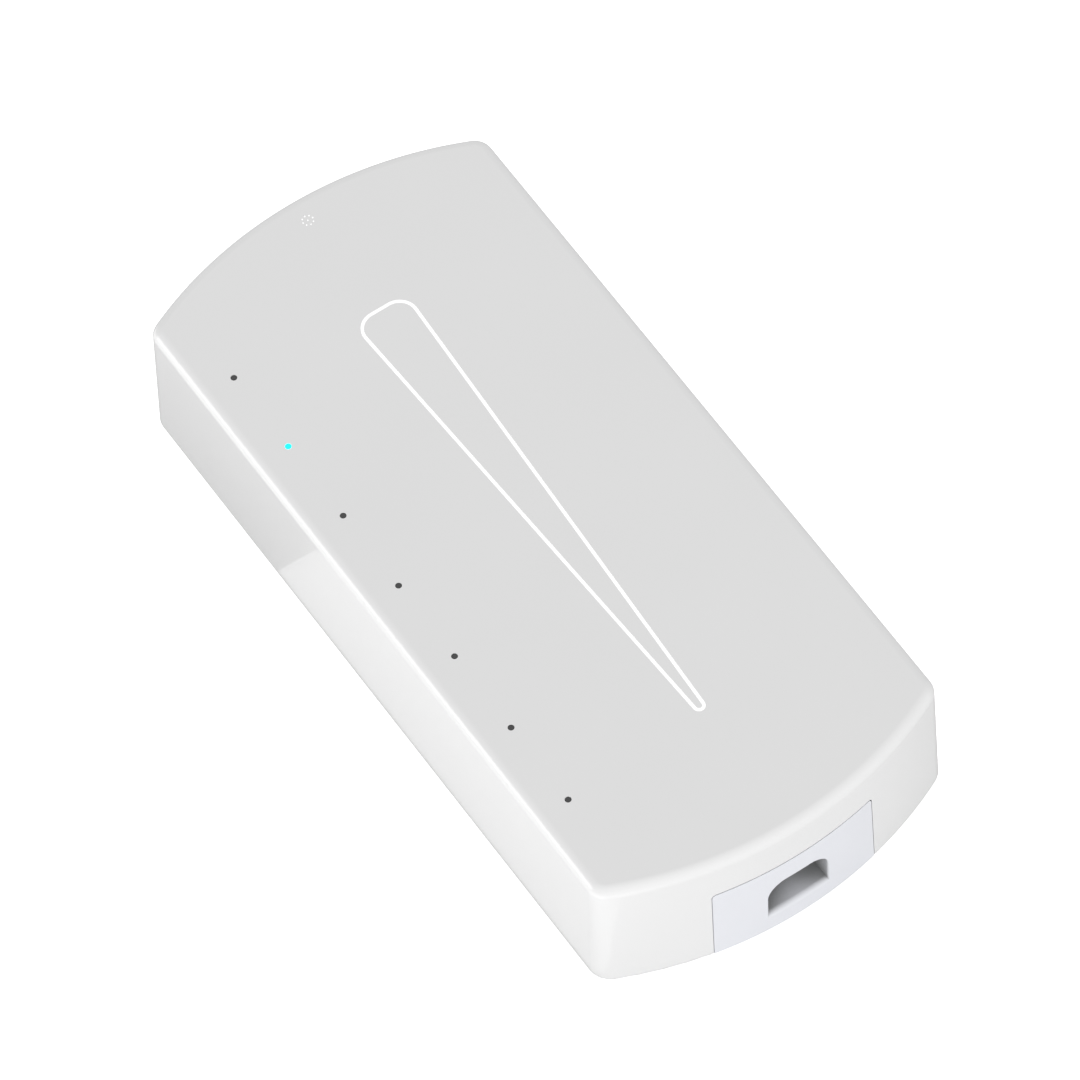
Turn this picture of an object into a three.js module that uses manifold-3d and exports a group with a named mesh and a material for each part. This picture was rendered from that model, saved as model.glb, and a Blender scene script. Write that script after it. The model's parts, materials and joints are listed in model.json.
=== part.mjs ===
// Wall battery unit: a drafted white shell over a steel tray that hangs on a wall bracket.
// Millimetres. The pieces are drawn as the unit hangs: z runs up the wall, the wall is the
// plane y = 0 and the front faces -y. The last lines lay the whole unit on its back, so that
// +Z points out of the front and +Y to the unit's upper end. The origin is the middle of the
// wall bracket's back face.
import * as THREE from "three";
import { mergeVertices } from "three/addons/utils/BufferGeometryUtils.js";
import Module from "manifold-3d";

const wasm = await Module();
wasm.setup();

// ---------------------------------------------------------------- driving dimensions
const HALF_WIDTH = 250; // at the wall
const END_RADIUS = 544; // both ends are arcs about the middle of the body, at the wall
const DEPTH = 200; // wall to front face
const DRAFT = 5; // how far the walls lean in between the wall and the front face
const CORNER = 30; // plan radius of the four corners, at the wall
const FRONT_FILLET = 14;
const WALL = 3; // shell thickness
const RIM = 2; // the shell stops this far from the wall
const LUG = 8.5; // half width of the blocks that take the shell's screws
const GAP = 0.3; // between touching pieces

const TRAY_BACK = 12; // depth of the recess that holds the bracket
const TRAY_SHEET = 2;
const TRAY_FRONT = -(TRAY_BACK + TRAY_SHEET);

const COVER_HALF = 115; // service cover, half width at its front edge
const COVER_FLARE = 1.5; // extra half width at the wall
const COVER_FRONT = 134; // front edge of the cover, from the wall
const COVER_CORNER = 6;
const COVER_GAP = 1; // parting line at the sides
const COVER_FRONT_GAP = 1.8; // and at the front edge
const GRIP_HALF = 42.5; // finger pull in the cover
const GRIP_BACK = 27;
const GRIP_FRONT = 96;
const GRIP_CORNER = 27;
const GRIP_TOP = -489; // height of the pull's closed end
const GRIP_WALL = 2.5;
const GRIP_LIP = 7; // radius of the pull's edge on the wall side
const GRIP_SIDE_LIP = 4; // radius of its side edges
const GRIP_FLOOR = 4; // thickness of the pocket's wall-side face

const LENS_X = -198;
const LENS_MID = 4; // height of the fourth lens
const LENS_PITCH = 119.7;
const LENS_COUNT = 7;
const LIT_LENS = 1; // the second from the top
const LENS_R = 4;
const LENS_FLANGE_R = 6;
const RING_Z = 501; // touch ring, nine dots
const RING_R = 7;
const DOT_R = 1.2;
const DOT_COUNT = 8;

const WEDGE_MID = -1; // middle of the inlaid loop
const WEDGE_HALF_LENGTH = 343.5; // to its centre line
const WEDGE_TOP_HALF = 36.3;
const WEDGE_TIP_HALF = 6;
const WEDGE_TOP_CORNER = 23.5;
const WEDGE_STROKE = 4.4;
const WEDGE_DEPTH = 1.6;

const MODULE = { w: 205, d: 118, h: 325 }; // cell module
const MODULE_X = 107;
const MODULE_Z = [130, -215]; // upper and lower row
const MODULE_BACK = TRAY_FRONT - 2;
const MODULE_FRONT = MODULE_BACK - MODULE.d;
const STUD = 6; // height of a module's terminal stud
const STUD_X = 70; // from the module's middle
const STUD_DROP = 28; // below the module's upper end

const BAY_Z = -445; // underside of the plate over the wiring bay
const BAY_SHEET = 2;
const FRAME_Z = [-512, -504]; // frame that the service cover closes on

// ---------------------------------------------------------------- materials
const paint = (color, roughness, metalness = 0) =>
  new THREE.MeshStandardMaterial({ color, roughness, metalness });
const MATERIAL = {
  shell: paint(0xf2f2f2, 0.45),
  cover: paint(0xe6e8ee, 0.5),
  lightGuide: paint(0xffffff, 0.3),
  lens: paint(0x2c2c2c, 0.25),
  lensLit: paint(0x10f5f0, 0.3),
  steel: paint(0xb8bcc0, 0.4, 0.9),
  zinc: paint(0xc9ccd0, 0.35, 1),
  rubber: paint(0x2b2b2d, 0.85),
  darkPlastic: paint(0x3a3d42, 0.6),
  redPlastic: paint(0xb3261e, 0.5),
  greyPlastic: paint(0x9ea3a8, 0.6),
  board: paint(0x1f5a3a, 0.55),
  copper: paint(0xc27a4a, 0.3, 1),
  aluminium: paint(0xc4c7ca, 0.45, 1),
  cableRed: paint(0x9c2320, 0.6),
  cableBlack: paint(0x1c1c1e, 0.6),
};

// ---------------------------------------------------------------- solids
// A closed three.js geometry as a manifold solid.
function solid(geometry) {
  const bare = geometry.clone();
  for (const name of Object.keys(bare.attributes))
    if (name !== "position") bare.deleteAttribute(name);
  const merged = mergeVertices(bare, 1e-4);
  return new wasm.Manifold(
    new wasm.Mesh({
      numProp: 3,
      vertProperties: merged.attributes.position.array,
      triVerts: new Uint32Array(merged.index.array),
    }),
  );
}

function geometryOf(made) {
  const mesh = made.getMesh();
  return new THREE.BufferGeometry()
    .setAttribute("position", new THREE.BufferAttribute(mesh.vertProperties, 3))
    .setIndex(new THREE.BufferAttribute(mesh.triVerts, 1));
}

const join = (...parts) => parts.reduce((a, b) => a.add(b));
const cut = (base, ...tools) => tools.reduce((a, b) => a.subtract(b), base);

// A box between two corners.
function block(x, y, z) {
  const size = [x, y, z].map(([a, b]) => b - a);
  return solid(
    new THREE.BoxGeometry(...size).translate(
      (x[0] + x[1]) / 2,
      (y[0] + y[1]) / 2,
      (z[0] + z[1]) / 2,
    ),
  );
}

// A round bar along Y, X or Z; centre holds the two coordinates across its axis.
function bar(axis, centre, span, r, sides = 24) {
  const length = span[1] - span[0];
  const made = new THREE.CylinderGeometry(r, r, length, sides);
  const middle = (span[0] + span[1]) / 2;
  if (axis === "y") made.translate(centre[0], middle, centre[1]);
  if (axis === "z") made.rotateX(Math.PI / 2).translate(...centre, middle);
  if (axis === "x") made.rotateZ(-Math.PI / 2).translate(middle, ...centre);
  return solid(made);
}

// A flat outline in X and Z, extruded from one depth to another (both are y, back first).
const slab = (shape, back, front) =>
  solid(
    new THREE.ExtrudeGeometry(shape, {
      depth: back - front,
      bevelEnabled: false,
      curveSegments: 5,
    })
      .rotateX(Math.PI / 2)
      .translate(0, back, 0),
  );

// A flat outline in X and Y, extruded upwards between two heights.
const prism = (shape, low, high) =>
  solid(
    new THREE.ExtrudeGeometry(shape, {
      depth: high - low,
      bevelEnabled: false,
      curveSegments: 5,
    }).translate(0, 0, low),
  );

// A profile in Y and Z, extruded along X about the middle.
const rail = (points, width) =>
  solid(
    new THREE.ExtrudeGeometry(
      new THREE.Shape(points.map(([y, z]) => new THREE.Vector2(y, z))),
      { depth: width, bevelEnabled: false },
    )
      .rotateY(Math.PI / 2)
      .rotateX(Math.PI / 2)
      .translate(-width / 2, 0, 0),
  );

function roundedBox(halfX, halfY, r) {
  const s = new THREE.Shape();
  s.moveTo(-halfX + r, -halfY);
  s.lineTo(halfX - r, -halfY);
  s.absarc(halfX - r, -halfY + r, r, -Math.PI / 2, 0);
  s.lineTo(halfX, halfY - r);
  s.absarc(halfX - r, halfY - r, r, 0, Math.PI / 2);
  s.lineTo(-halfX + r, halfY);
  s.absarc(-halfX + r, halfY - r, r, Math.PI / 2, Math.PI);
  s.lineTo(-halfX, -halfY + r);
  s.absarc(-halfX + r, -halfY + r, r, Math.PI, 1.5 * Math.PI);
  return s;
}

// ---------------------------------------------------------------- the body's plan
const END_STEPS = 16;
const CORNER_STEPS = 4;

// The plan at the wall, moved inwards: a disc cut by a strip, with rounded corners.
function plan(inset) {
  const half = HALF_WIDTH - inset;
  const radius = END_RADIUS - inset;
  const corner = Math.max(CORNER - inset, 2);
  const cx = half - corner;
  const cz = Math.sqrt((radius - corner) ** 2 - cx ** 2);
  const meet = Math.atan2(cz, cx); // where the end arc becomes the corner
  const points = [];
  const arc = (x, z, r, from, to, steps) => {
    for (let i = 0; i <= steps; i++) {
      const a = from + ((to - from) * i) / steps;
      points.push(new THREE.Vector2(x + r * Math.cos(a), z + r * Math.sin(a)));
    }
  };
  arc(cx, cz, corner, 0, meet, CORNER_STEPS);
  arc(0, 0, radius, meet, Math.PI - meet, END_STEPS);
  arc(-cx, cz, corner, Math.PI - meet, Math.PI, CORNER_STEPS);
  arc(-cx, -cz, corner, Math.PI, Math.PI + meet, CORNER_STEPS);
  arc(0, 0, radius, Math.PI + meet, 2 * Math.PI - meet, END_STEPS);
  arc(cx, -cz, corner, 2 * Math.PI - meet, 2 * Math.PI, CORNER_STEPS);
  // The arcs share their end points, so each second copy goes.
  return points.filter((p, i) => {
    const next = points[(i + 1) % points.length];
    return p.distanceTo(next) > 1e-6;
  });
}

const planSlab = (inset, back, front) =>
  slab(new THREE.Shape(plan(inset)), back, front);

const draftAt = (y) => (-y / DEPTH) * DRAFT;

// A closed body through rings with the same number of points. `flat` gives a point's place in
// the plane that the rings run round anticlockwise, seen from the last ring.
function loft(rings, flat) {
  const count = rings[0].length;
  const positions = rings.flat().flatMap((p) => [p.x, p.y, p.z]);
  const index = [];
  for (let r = 0; r < rings.length - 1; r++)
    for (let i = 0; i < count; i++) {
      const j = (i + 1) % count;
      const [a, b, c, d] = [i, j, count + j, count + i].map((k) => k + r * count);
      index.push(a, b, c, a, c, d);
    }
  const cap = (ring, offset, last) => {
    for (const [a, b, c] of THREE.ShapeUtils.triangulateShape(ring.map(flat), []))
      index.push(...(last ? [a, b, c] : [c, b, a]).map((k) => k + offset));
  };
  cap(rings[0], 0, false);
  cap(rings.at(-1), (rings.length - 1) * count, true);
  const made = new THREE.BufferGeometry();
  made.setAttribute("position", new THREE.Float32BufferAttribute(positions, 3));
  made.setIndex(index);
  return solid(made);
}

// The outer body shrunk by `inset`, with its front fillet; `back` is where it starts.
function body(inset, back, filletSteps) {
  const fillet = FRONT_FILLET - inset;
  const foot = -DEPTH + FRONT_FILLET;
  const levels = [
    [back, inset + draftAt(back)],
    [foot, inset + draftAt(foot)],
  ];
  for (let i = 1; i <= filletSteps; i++) {
    const a = ((Math.PI / 2) * i) / filletSteps;
    const across = inset + draftAt(foot) + fillet * (1 - Math.cos(a));
    levels.push([foot - fillet * Math.sin(a), across]);
  }
  const rings = levels.map(([y, across]) =>
    plan(across).map((p) => new THREE.Vector3(p.x, y, p.y)),
  );
  return loft(rings, (p) => new THREE.Vector2(p.x, p.z));
}

// The service cover's outline seen from below, shrunk by `inset`; it runs past the wall.
function coverOutline(inset, past = 0, frontInset = inset) {
  const front = -COVER_FRONT + frontInset;
  const half = COVER_HALF - inset;
  const backHalf = half + COVER_FLARE;
  const s = new THREE.Shape();
  s.moveTo(backHalf, past);
  s.lineTo(-backHalf, past);
  s.lineTo(-half, front + COVER_CORNER);
  s.absarc(-half + COVER_CORNER, front + COVER_CORNER, COVER_CORNER, Math.PI, 1.5 * Math.PI);
  s.lineTo(half - COVER_CORNER, front);
  s.absarc(half - COVER_CORNER, front + COVER_CORNER, COVER_CORNER, -Math.PI / 2, 0);
  return s;
}

// The outside of the finger pull's pocket: flat towards the wall, rounded towards the front.
function pocketOutline() {
  const half = GRIP_HALF + GRIP_WALL;
  const back = -GRIP_BACK - GRIP_LIP + GRIP_FLOOR;
  const front = -GRIP_FRONT - GRIP_WALL;
  const r = GRIP_CORNER + GRIP_WALL;
  const s = new THREE.Shape();
  s.moveTo(half, back);
  s.lineTo(-half, back);
  s.lineTo(-half, front + r);
  s.absarc(-half + r, front + r, r, Math.PI, 1.5 * Math.PI);
  s.lineTo(half - r, front);
  s.absarc(half - r, front + r, r, -Math.PI / 2, 0);
  return s;
}

// The pull's hollow. Its edges at the wall side and at both sides round out to the curved end of the body.
function gripHollow() {
  const r = GRIP_CORNER;
  const steps = 8;
  const outline = (back) => {
    const points = [];
    for (let i = 0; i <= steps; i++)
      points.push([GRIP_HALF * (1 - (2 * i) / steps), -back]);
    for (const [x, start] of [[-GRIP_HALF + r, Math.PI], [GRIP_HALF - r, 1.5 * Math.PI]])
      for (let i = 0; i <= steps; i++) {
        const a = start + ((Math.PI / 2) * i) / steps;
        points.push([x + r * Math.cos(a), -GRIP_FRONT + r + r * Math.sin(a)]);
      }
    return points;
  };
  const radius = END_RADIUS - draftAt(-GRIP_BACK);
  const endFace = (x) => -Math.sqrt(radius ** 2 - x ** 2);
  const flareAt = (depth) => {
    const left = Math.max(GRIP_SIDE_LIP - depth, 0);
    return GRIP_SIDE_LIP - Math.sqrt(GRIP_SIDE_LIP ** 2 - left ** 2);
  };
  const ring = (back, height, flare = 0) =>
    outline(back).map(([along, y]) => {
      const x = along * (1 + flare / GRIP_HALF);
      return new THREE.Vector3(x, y, height(x));
    });
  const rings = [ring(GRIP_BACK, (x) => endFace(x) - 5, GRIP_SIDE_LIP)];
  for (let i = 0; i <= 5; i++) {
    const a = ((Math.PI / 2) * i) / 5;
    const depth = GRIP_LIP * (1 - Math.cos(a));
    const back = GRIP_BACK + GRIP_LIP * Math.sin(a);
    rings.push(ring(back, (x) => endFace(x) + depth, flareAt(depth)));
  }
  rings.push(ring(GRIP_BACK + GRIP_LIP, () => GRIP_TOP));
  return loft(rings, (p) => new THREE.Vector2(p.x, p.y));
}

// The tapered loop's outline in X and Z, moved outwards by `grow` from its centre line.
function wedgeOutline(grow) {
  const slope = (WEDGE_TOP_HALF - WEDGE_TIP_HALF) / (2 * WEDGE_HALF_LENGTH);
  const lean = Math.atan(slope);
  const rTop = WEDGE_TOP_CORNER + grow;
  const rTip = WEDGE_TIP_HALF + grow;
  const topX = WEDGE_TOP_HALF - WEDGE_TOP_CORNER;
  const topZ = WEDGE_MID + WEDGE_HALF_LENGTH - WEDGE_TOP_CORNER;
  const tipZ = WEDGE_MID - WEDGE_HALF_LENGTH + WEDGE_TIP_HALF;
  const s = new THREE.Shape();
  s.absarc(topX, topZ, rTop, -lean, Math.PI / 2);
  s.absarc(-topX, topZ, rTop, Math.PI / 2, Math.PI + lean);
  s.absarc(0, tipZ, rTip, Math.PI + lean, 2 * Math.PI - lean);
  return s;
}

const lensHeights = Array.from(
  { length: LENS_COUNT },
  (_, i) => LENS_MID + ((LENS_COUNT - 1) / 2 - i) * LENS_PITCH,
);
const dotPlaces = [
  [0, RING_Z],
  ...Array.from({ length: DOT_COUNT }, (_, i) => {
    const a = (2 * Math.PI * i) / DOT_COUNT;
    return [RING_R * Math.sin(a), RING_Z + RING_R * Math.cos(a)];
  }),
];
const SHELL_SCREWS = [-1, 1].flatMap((side) =>
  [-380, 0, 380].map((z) => [side * 233, z]),
);
const FRONT = -DEPTH;
const INNER_FRONT = -DEPTH + WALL;

// ---------------------------------------------------------------- shell and light guides
function frontShell() {
  let made = cut(body(0, -RIM, 4), body(WALL, 5, 2));
  for (const [x, z] of SHELL_SCREWS) {
    const wallSide = Math.sign(x) * (HALF_WIDTH - WALL - 1);
    const lug = block(
      [Math.min(x - LUG, wallSide), Math.max(x + LUG, wallSide)],
      [-44, TRAY_FRONT - GAP],
      [z - LUG, z + LUG],
    );
    made = join(made, lug.subtract(bar("y", [x, z], [-36, 0], 2.6, 16)));
  }
  made = made.subtract(prism(coverOutline(0, 5), -600, -470));
  const groove = slab(wedgeOutline(WEDGE_STROKE / 2 + 0.1), 0, FRONT - 1)
    .subtract(slab(wedgeOutline(-WEDGE_STROKE / 2 - 0.1), 1, FRONT - 2))
    .subtract(block([-99, 99], [FRONT + WEDGE_DEPTH + GAP, 9], [-400, 400]));
  made = made.subtract(groove);
  for (const z of lensHeights)
    made = made.subtract(bar("y", [LENS_X, z], [FRONT - 1, 0], LENS_R + 0.1, 16));
  for (const [x, z] of dotPlaces)
    made = made.subtract(bar("y", [x, z], [FRONT - 1, 0], DOT_R + 0.1, 8));
  return made;
}

// A cord that lies on the tray's front, close inside the shell. It passes the screw lugs on
// their inner side and stops at the service cover.
function shellGasket() {
  const back = TRAY_FRONT - GAP;
  const lugs = (grow) =>
    SHELL_SCREWS.map(([x, z]) =>
      block([x - LUG - grow, x + LUG + grow], [back - 3, back], [z - LUG - grow, z + LUG + grow]),
    );
  const ring = cut(planSlab(3.9, back, back - 3), planSlab(8, back + 1, back - 4));
  const round = join(ring, ...lugs(4.5).map((b) => b.intersect(planSlab(3.9, back, back - 3))));
  const outside = SHELL_SCREWS.map(([x, z]) => {
    const wallSide = Math.sign(x) * HALF_WIDTH;
    const reach = [Math.min(x - LUG, wallSide), Math.max(x + LUG, wallSide)];
    return block(reach, [back - 9, back + 9], [z - LUG - 0.5, z + LUG + 0.5]);
  });
  return cut(round, ...outside, block([-122, 122], [-40, 0], [-600, -470]));
}

const wedgeLightGuide = () =>
  cut(
    slab(wedgeOutline(WEDGE_STROKE / 2 - 0.1), FRONT + WEDGE_DEPTH, FRONT),
    slab(wedgeOutline(-WEDGE_STROKE / 2 + 0.1), 0, FRONT - 1),
  );

// Modelled about its own axis, with its face at y = 0.
const chargeLens = () =>
  join(
    bar("y", [0, 0], [0, WALL + 0.6], LENS_R - 0.2, 14),
    bar("y", [0, 0], [WALL + 0.4, WALL + 2.4], LENS_FLANGE_R, 14),
  );

function touchRingGuide() {
  const carrier = bar("y", [0, RING_Z], [INNER_FRONT + 0.4, INNER_FRONT + 2.4], 12, 16);
  const pins = dotPlaces.map((at) => bar("y", at, [FRONT, INNER_FRONT + 1], DOT_R - 0.15, 8));
  return join(carrier, ...pins);
}

// ---------------------------------------------------------------- boards behind the front
const BOARD = 1.6;

function board(x, z, back, chips) {
  const made = block(x, [back - BOARD, back], z);
  return join(made, ...chips.map(([cx, cz, w, h, tall]) =>
    block([cx - w / 2, cx + w / 2], [back - BOARD - tall, back - 1], [cz - h / 2, cz + h / 2]),
  ));
}

const CHARGE_BOARD_BACK = INNER_FRONT + 2.4 + 2.6 + BOARD;

function chargeLedBoard() {
  const reach = lensHeights[0] + 14;
  const leds = lensHeights.map((z) => [LENS_X, z, 5, 5, 1.8]);
  return board([LENS_X - 9, LENS_X + 9], [-reach, reach], CHARGE_BOARD_BACK, leds);
}

// Lights the loop and the touch ring from behind, and carries the touch sensor.
function displayBoard() {
  const parts = [[0, RING_Z, 12, 12, 1.8]];
  for (let z = -300; z <= 300; z += 75) parts.push([0, z, 5, 5, 1.8]);
  return board([-16, 16], [-WEDGE_HALF_LENGTH, RING_Z + 16], CHARGE_BOARD_BACK, parts);
}

// ---------------------------------------------------------------- wall bracket and tray
const BRACKET = { w: 280, h: 420, sheet: 3 };
const HOOK_Z = [170, -170];
const BRACKET_SLOTS = [-110, 110].flatMap((x) => [-120, 0, 120].map((z) => [x, z]));

// Each hook stands off the plate and turns upwards.
function bracketHook(z) {
  const points = [
    [-BRACKET.sheet + 1, z],
    [-8.6, z],
    [-8.6, z + 17],
    [-6.2, z + 17],
    [-6.2, z + 3],
    [-BRACKET.sheet + 1, z + 3],
  ];
  return rail(points, 240);
}

function wallBracket() {
  let made = slab(roundedBox(BRACKET.w / 2, BRACKET.h / 2, 8), 0, -BRACKET.sheet);
  made = join(made, ...HOOK_Z.map(bracketHook));
  for (const [x, z] of BRACKET_SLOTS)
    made = made.subtract(slab(slot(x, z, 4.5, 9), 5, -20));
  return made;
}

// An upright slot: two half rounds joined by straight sides.
function slot(x, z, r, reach) {
  const s = new THREE.Shape();
  s.absarc(x, z + reach - r, r, 0, Math.PI);
  s.absarc(x, z - reach + r, r, Math.PI, 2 * Math.PI);
  return s;
}

// Welded to the tray, it turns downwards behind the bracket's hook.
function hookRail(z) {
  const weld = -TRAY_BACK + GAP;
  const points = [
    [weld, z + 17.5],
    [-5.6, z + 17.5],
    [-5.6, z + 4],
    [-3.6, z + 4],
    [-3.6, z + 19.5],
    [weld + 2, z + 19.5],
    [weld + 2, z + 36],
    [weld, z + 36],
  ];
  return rail(points, 230);
}

const ENTRY = { x: 62, z: [-502, -470] }; // cable entry window

function backTray() {
  let made = cut(planSlab(3.9, 0, TRAY_FRONT), planSlab(6.2, 5, -TRAY_BACK));
  const lip = cut(planSlab(0.9, 0, -RIM + GAP), planSlab(5, 5, -5));
  made = join(made, lip);
  made = made.subtract(block([-119.5, 119.5], [-40, 5], [-600, -524]));
  made = made.subtract(block([-ENTRY.x, ENTRY.x], [-40, 5], ENTRY.z));
  for (const [x, z] of SHELL_SCREWS)
    made = made.subtract(bar("y", [x, z], [-40, 5], 2.9, 16));
  return made;
}

const SCREW = { r: 2.5, length: 20, headR: 5, headH: 3 };

// A socket screw along Y with its head towards the wall.
function shellScrew() {
  const { r, length, headR, headH } = SCREW;
  const shank = bar("y", [0, 0], [-length, 0.5], r, 14);
  const head = bar("y", [0, 0], [0, headH], headR, 18);
  const socket = bar("y", [0, 0], [headH - 1.4, headH + 1], headR / 2, 6);
  return join(shank, head).subtract(socket);
}

// ---------------------------------------------------------------- cells
function cellModule() {
  const { w, d, h } = MODULE;
  const can = slab(roundedBox(w / 2, h / 2, 6), 0, -d);
  const studs = [-STUD_X, STUD_X].map((x) =>
    bar("y", [x, h / 2 - STUD_DROP], [-d - STUD, -d + 1], 9, 16),
  );
  const ribs = [-90, -45, 0, 45].map((z) =>
    block([-w / 2 + 12, w / 2 - 12], [-d - 2, -d + 1], [z - 3, z + 3]),
  );
  return join(can, ...studs, ...ribs);
}

const LINK_BACK = MODULE_FRONT - STUD - GAP;
const studZ = (row) => MODULE_Z[row] + MODULE.h / 2 - STUD_DROP;

// A bar that joins an upper module's stud to the stud of the module below it.
const uprightLink = (x) =>
  slab(roundedBox(12, (studZ(0) - studZ(1)) / 2 + 12, 6), LINK_BACK, LINK_BACK - 4).translate([
    x,
    0,
    (studZ(0) + studZ(1)) / 2,
  ]);
const INNER_STUD_X = MODULE_X - STUD_X;

// It joins the two upper modules.
const crossLink = () =>
  block(
    [-INNER_STUD_X - 12, INNER_STUD_X + 12],
    [LINK_BACK - 4, LINK_BACK],
    [studZ(0) - 12, studZ(0) + 12],
  );

const STRAP_Z = MODULE_Z.map((z) => z - 70);
const STRAP_BACK = MODULE_FRONT - 2.4;
const POST_X = 222;

function moduleStrap(z) {
  let made = block([-POST_X - 9, POST_X + 9], [STRAP_BACK - 3, STRAP_BACK], [z - 14, z + 14]);
  for (const x of [-POST_X, POST_X])
    made = made.subtract(bar("y", [x, z], [STRAP_BACK - 9, STRAP_BACK + 9], 2.8, 14));
  return made;
}

const strapPost = () =>
  cut(
    bar("y", [0, 0], [STRAP_BACK + GAP, TRAY_FRONT - GAP], 6.5, 6),
    bar("y", [0, 0], [STRAP_BACK - 1, STRAP_BACK + 22], 2.3, 8),
  );

// ---------------------------------------------------------------- electronics above the cells
function heatSink() {
  let made = block([-150, 50], [TRAY_FRONT - GAP - 6, TRAY_FRONT - GAP], [322, 452]);
  for (let x = -146; x <= 46; x += 16)
    made = join(made, block([x - 1.5, x + 1.5], [TRAY_FRONT - 42, TRAY_FRONT - 5], [322, 452]));
  return made;
}

const inverterBoard = () =>
  board([-150, 50], [322, 452], TRAY_FRONT - 46, [
    [-110, 420, 34, 34, 38],
    [-60, 420, 34, 34, 38],
    [-110, 360, 24, 50, 26],
    [-50, 355, 50, 40, 30],
    [20, 400, 26, 60, 14],
  ]);

const bmsBoard = () =>
  board([72, 192], [322, 442], TRAY_FRONT - 24, [
    [105, 420, 30, 14, 11],
    [150, 420, 30, 14, 11],
    [130, 370, 22, 22, 2.5],
    [92, 345, 14, 20, 8],
    [170, 345, 20, 16, 4],
  ]);

const contactor = () =>
  join(
    block([96, 156], [TRAY_FRONT - 52, TRAY_FRONT - 2.6], [BAY_Z + 3, -400]),
    bar("y", [111, -421], [TRAY_FRONT - 62, TRAY_FRONT - 50], 5, 12),
    bar("y", [141, -421], [TRAY_FRONT - 62, TRAY_FRONT - 50], 5, 12),
  );

const mainFuse = () =>
  join(
    bar("x", [-60, -415], [-196, -136], 11, 20),
    bar("x", [-60, -415], [-200, -184], 13, 20),
    bar("x", [-60, -415], [-148, -132], 13, 20),
    block([-210, -122], [-63, -57], [-440, -411]),
  );

// ---------------------------------------------------------------- wiring bay
const ISOLATOR = [-74, -70];
const BREAKER = [22, -72];
const BUTTON = [78, -60];
const KNOB_TOP = BAY_Z - 6.4;
const SHAFT_R = 5;

const BAY = { x: 205, back: TRAY_FRONT - GAP, front: -186 };

function bayPanel() {
  let made = block([-BAY.x, BAY.x], [BAY.front, BAY.back], [BAY_Z, BAY_Z + BAY_SHEET]);
  made = join(made, block([-BAY.x, BAY.x], [BAY.back - 2, BAY.back], [BAY_Z, BAY_Z + 14]));
  made = made.subtract(bar("z", ISOLATOR, [BAY_Z - 5, BAY_Z + 9], 15, 24));
  made = made.subtract(bar("z", BUTTON, [BAY_Z - 5, BAY_Z + 9], 8.3, 24));
  const [x, y] = BREAKER;
  return made.subtract(block([x - 16, x + 16], [y - 24, y + 24], [BAY_Z - 5, BAY_Z + 9]));
}

function isolatorBody() {
  const [x, y] = ISOLATOR;
  const low = BAY_Z + BAY_SHEET + GAP;
  return join(
    block([x - 30, x + 30], [y - 30, y + 30], [low, low + 40]),
    bar("z", ISOLATOR, [BAY_Z - 4, low + 2], 14, 28),
  ).subtract(bar("z", ISOLATOR, [BAY_Z - 9, BAY_Z + 18], SHAFT_R + 0.125, 20));
}

function isolatorKnob() {
  const [x, y] = ISOLATOR;
  const disc = bar("z", ISOLATOR, [KNOB_TOP - 6, KNOB_TOP], 21, 28);
  const grip = block([x - 6, x + 6], [y - 19, y + 19], [KNOB_TOP - 20, KNOB_TOP - 5]);
  const shaft = bar("z", ISOLATOR, [KNOB_TOP - 2, BAY_Z + 16], SHAFT_R, 20);
  return join(disc, grip, shaft);
}

const LEVER_PIVOT = [BREAKER[1], BAY_Z - 1];

function breakerBody() {
  const [x, y] = BREAKER;
  const low = BAY_Z + BAY_SHEET + GAP;
  const made = join(
    block([x - 18, x + 18], [y - 40, y + 40], [low, low + 38]),
    block([x - 15, x + 15], [y - 22, y + 22], [BAY_Z - 6, low + 1]),
  );
  return cut(
    made,
    block([x - 10.5, x + 10.5], [y - 15, y + 15], [BAY_Z - 20, BAY_Z + 9]),
    bar("x", LEVER_PIVOT, [x - 13.4, x + 13.4], 2.1, 16),
  );
}

const LEVER_REST = THREE.MathUtils.degToRad(-32);

function breakerLever() {
  const [x] = BREAKER;
  const hub = bar("x", [0, 0], [x - 9.6, x + 9.6], 5, 20);
  const pin = bar("x", [0, 0], [x - 13, x + 13], 2, 14);
  const handle = block([x - 9, x + 9], [-2.2, 2.2], [-19, -3]);
  const made = join(hub, pin, handle);
  return geometryOf(made).rotateX(LEVER_REST).translate(0, ...LEVER_PIVOT);
}

const BUTTON_TRAVEL = 3;

const startButton = () =>
  join(
    bar("z", BUTTON, [BAY_Z - 4, BAY_Z + 12], 7.8, 24),
    bar("z", BUTTON, [BAY_Z + BAY_SHEET + 2 + GAP, BAY_Z + BAY_SHEET + 4], 9.6, 24),
  );

// The switch housing that the start button runs in.
function buttonSwitch() {
  const [x, y] = BUTTON;
  const low = BAY_Z + BAY_SHEET + GAP;
  const top = BAY_Z + 26;
  return cut(
    block([x - 12, x + 12], [y - 12, y + 12], [low, top]),
    bar("z", BUTTON, [low - 5, low + 1.7], 7.94, 24),
    bar("z", BUTTON, [low + 1.5, low + 2 + BUTTON_TRAVEL + 2.2], 9.9, 24),
    bar("z", BUTTON, [low + 2, BAY_Z + 12 + BUTTON_TRAVEL + 0.6], 7.94, 24),
  );
}

function terminalBlock() {
  const low = BAY_Z - GAP - 18;
  let made = block([-60, 60], [-30, TRAY_FRONT - GAP], [low, BAY_Z - GAP]);
  for (let x = -50; x <= 50; x += 20)
    made = made.subtract(
      block([x - 6, x + 6], [-26, -18], [low - 5, low + 10]),
    );
  return made;
}

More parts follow.
